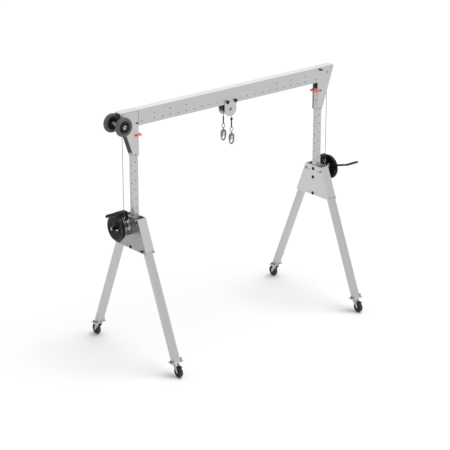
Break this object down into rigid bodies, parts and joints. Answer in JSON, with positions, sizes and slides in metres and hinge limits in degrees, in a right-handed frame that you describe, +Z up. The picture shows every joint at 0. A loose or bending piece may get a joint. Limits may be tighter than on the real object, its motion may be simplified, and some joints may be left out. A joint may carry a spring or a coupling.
{
  "type": "portable gantry crane",
  "caption": "Portable gantry crane: hollow beam on telescoping masts, folding splayed legs on castors, side hand winches roped through the beam to swivel hooks.",
  "frame": {"origin": "on the floor below the middle of the beam, centre of the bounding box's base", "axes": "+X along the beam away from the transport wheels, +Y level across the beam, towards the side the winch drums lie on, +Z up"},
  "size_m": [3.4886, 1.5646, 2.73],
  "materials": {
    "aluminium": "satin, lightly brushed",
    "black_aluminium": "black coated casting",
    "zinc_steel": "zinc plated",
    "rope_steel": "stranded wire",
    "black_plastic": "moulded",
    "signal_red": "powder coat",
    "tyre": "moulded rubber"
  },
  "bodies": {
    "beam": {"beam": "aluminium", "mast_left": "aluminium", "mast_right": "aluminium", "end_bracket_left": "aluminium", "end_bracket_right": "aluminium", "pulley_bracket": "aluminium", "rope_sheaves": "black_plastic", "beam_ropes": "rope_steel", "winch_rope_left": "rope_steel", "winch_rope_right": "rope_steel", "hook_rope_left": "rope_steel", "hook_rope_right": "rope_steel"},
    "head_left": {"head_left": "aluminium", "lock_pins_left": "black_plastic", "winch_left": "black_aluminium"},
    "head_right": {"head_right": "aluminium", "lock_pins_right": "black_plastic", "winch_right": "black_aluminium"},
    "leg_left_near": {"leg_left_near": "aluminium", "foot_left_near": "aluminium"},
    "leg_left_far": {"leg_left_far": "aluminium", "foot_left_far": "aluminium"},
    "leg_right_near": {"leg_right_near": "aluminium", "foot_right_near": "aluminium"},
    "leg_right_far": {"leg_right_far": "aluminium", "foot_right_far": "aluminium"},
    "castor_fork_left_near": {"castor_fork_left_near": "zinc_steel"},
    "castor_wheel_left_near": {"castor_wheel_left_near": "tyre"},
    "castor_fork_left_far": {"castor_fork_left_far": "zinc_steel"},
    "castor_wheel_left_far": {"castor_wheel_left_far": "tyre"},
    "castor_fork_right_near": {"castor_fork_right_near": "zinc_steel"},
    "castor_wheel_right_near": {"castor_wheel_right_near": "tyre"},
    "castor_fork_right_far": {"castor_fork_right_far": "zinc_steel"},
    "castor_wheel_right_far": {"castor_wheel_right_far": "tyre"},
    "hook_line_left": {"hook_line_left": "zinc_steel"},
    "hook_left": {"hook_left": "zinc_steel"},
    "crank_left": {"crank_left": "zinc_steel"},
    "hook_line_right": {"hook_line_right": "zinc_steel"},
    "hook_right": {"hook_right": "zinc_steel"},
    "crank_right": {"crank_right": "zinc_steel"},
    "latch_lever_left": {"latch_lever_left": "signal_red"},
    "latch_lever_right": {"latch_lever_right": "signal_red"},
    "transport_wheel_near": {"transport_wheel_near": "tyre"},
    "transport_wheel_far": {"transport_wheel_far": "tyre"}
  },
  "joints": [
    {"name": "height_left", "type": "slide", "parent": "beam", "child": "head_left", "axis": [0, 0, 1], "range_m": [0, 0.6], "deforming": ["winch_rope_left"]},
    {"name": "height_right", "type": "slide", "parent": "beam", "child": "head_right", "axis": [0, 0, 1], "range_m": [0, 0.6], "deforming": ["winch_rope_right"]},
    {"name": "leg_fold_left_near", "type": "hinge", "parent": "head_left", "child": "leg_left_near", "pos_m": [-1.305, -0.115, 1.53], "axis": [1, 0, 0], "range_deg": [0, 20]},
    {"name": "leg_fold_left_far", "type": "hinge", "parent": "head_left", "child": "leg_left_far", "pos_m": [-1.305, 0.115, 1.53], "axis": [-1, 0, 0], "range_deg": [0, 20]},
    {"name": "leg_fold_right_near", "type": "hinge", "parent": "head_right", "child": "leg_right_near", "pos_m": [1.305, -0.115, 1.53], "axis": [1, 0, 0], "range_deg": [0, 20]},
    {"name": "leg_fold_right_far", "type": "hinge", "parent": "head_right", "child": "leg_right_far", "pos_m": [1.305, 0.115, 1.53], "axis": [-1, 0, 0], "range_deg": [0, 20]},
    {"name": "castor_swivel_left_near", "type": "hinge", "parent": "leg_left_near", "child": "castor_fork_left_near", "pos_m": [-1.305, -0.67483, 0.15], "axis": [0, 0, 1], "continuous": true},
    {"name": "castor_roll_left_near", "type": "hinge", "parent": "castor_fork_left_near", "child": "castor_wheel_left_near", "pos_m": [-1.305, -0.71983, 0.0625], "axis": [1, 0, 0], "continuous": true},
    {"name": "castor_swivel_left_far", "type": "hinge", "parent": "leg_left_far", "child": "castor_fork_left_far", "pos_m": [-1.305, 0.67483, 0.15], "axis": [0, 0, 1], "continuous": true},
    {"name": "castor_roll_left_far", "type": "hinge", "parent": "castor_fork_left_far", "child": "castor_wheel_left_far", "pos_m": [-1.305, 0.71983, 0.0625], "axis": [1, 0, 0], "continuous": true},
    {"name": "castor_swivel_right_near", "type": "hinge", "parent": "leg_right_near", "child": "castor_fork_right_near", "pos_m": [1.305, -0.67483, 0.15], "axis": [0, 0, 1], "continuous": true},
    {"name": "castor_roll_right_near", "type": "hinge", "parent": "castor_fork_right_near", "child": "castor_wheel_right_near", "pos_m": [1.305, -0.71983, 0.0625], "axis": [1, 0, 0], "continuous": true},
    {"name": "castor_swivel_right_far", "type": "hinge", "parent": "leg_right_far", "child": "castor_fork_right_far", "pos_m": [1.305, 0.67483, 0.15], "axis": [0, 0, 1], "continuous": true},
    {"name": "castor_roll_right_far", "type": "hinge", "parent": "castor_fork_right_far", "child": "castor_wheel_right_far", "pos_m": [1.305, 0.71983, 0.0625], "axis": [1, 0, 0], "continuous": true},
    {"name": "hoist_left", "type": "slide", "parent": "beam", "child": "hook_line_left", "axis": [0, 0, 1], "range_m": [-1.901, 0], "deforming": ["hook_rope_left"]},
    {"name": "hook_swivel_left", "type": "hinge", "parent": "hook_line_left", "child": "hook_left", "pos_m": [0.015, -0.014, 2.2], "axis": [0, 0, 1], "continuous": true},
    {"name": "crank_turn_left", "type": "hinge", "parent": "head_left", "child": "crank_left", "pos_m": [-1.565, 0.011, 1.499], "axis": [1, 0, 0], "range_deg": [-11340, 0]},
    {"name": "hoist_right", "type": "slide", "parent": "beam", "child": "hook_line_right", "axis": [0, 0, 1], "range_m": [-1.901, 0], "deforming": ["hook_rope_right"]},
    {"name": "hook_swivel_right", "type": "hinge", "parent": "hook_line_right", "child": "hook_right", "pos_m": [-0.075, 0.014, 2.2], "axis": [0, 0, 1], "continuous": true},
    {"name": "crank_turn_right", "type": "hinge", "parent": "head_right", "child": "crank_right", "pos_m": [1.565, 0.039, 1.499], "axis": [1, 0, 0], "range_deg": [-11340, 0]},
    {"name": "latch_left", "type": "hinge", "parent": "beam", "child": "latch_lever_left", "pos_m": [-1.29, 0, 2.462], "axis": [0, 1, 0], "range_deg": [0, 30]},
    {"name": "latch_right", "type": "hinge", "parent": "beam", "child": "latch_lever_right", "pos_m": [1.29, 0, 2.462], "axis": [0, -1, 0], "range_deg": [0, 30]},
    {"name": "transport_roll_near", "type": "hinge", "parent": "beam", "child": "transport_wheel_near", "pos_m": [-1.48, -0.1, 2.6], "axis": [0, 1, 0], "continuous": true},
    {"name": "transport_roll_far", "type": "hinge", "parent": "beam", "child": "transport_wheel_far", "pos_m": [-1.48, 0.1, 2.6], "axis": [0, 1, 0], "continuous": true}
  ],
  "couplings": [
    {"joint": "height_right", "follows": "height_left", "ratio": 1},
    {"joint": "hoist_left", "follows": "crank_turn_left", "m_per_rad": 0.0096},
    {"joint": "hoist_right", "follows": "crank_turn_right", "m_per_rad": 0.0096}
  ]
}
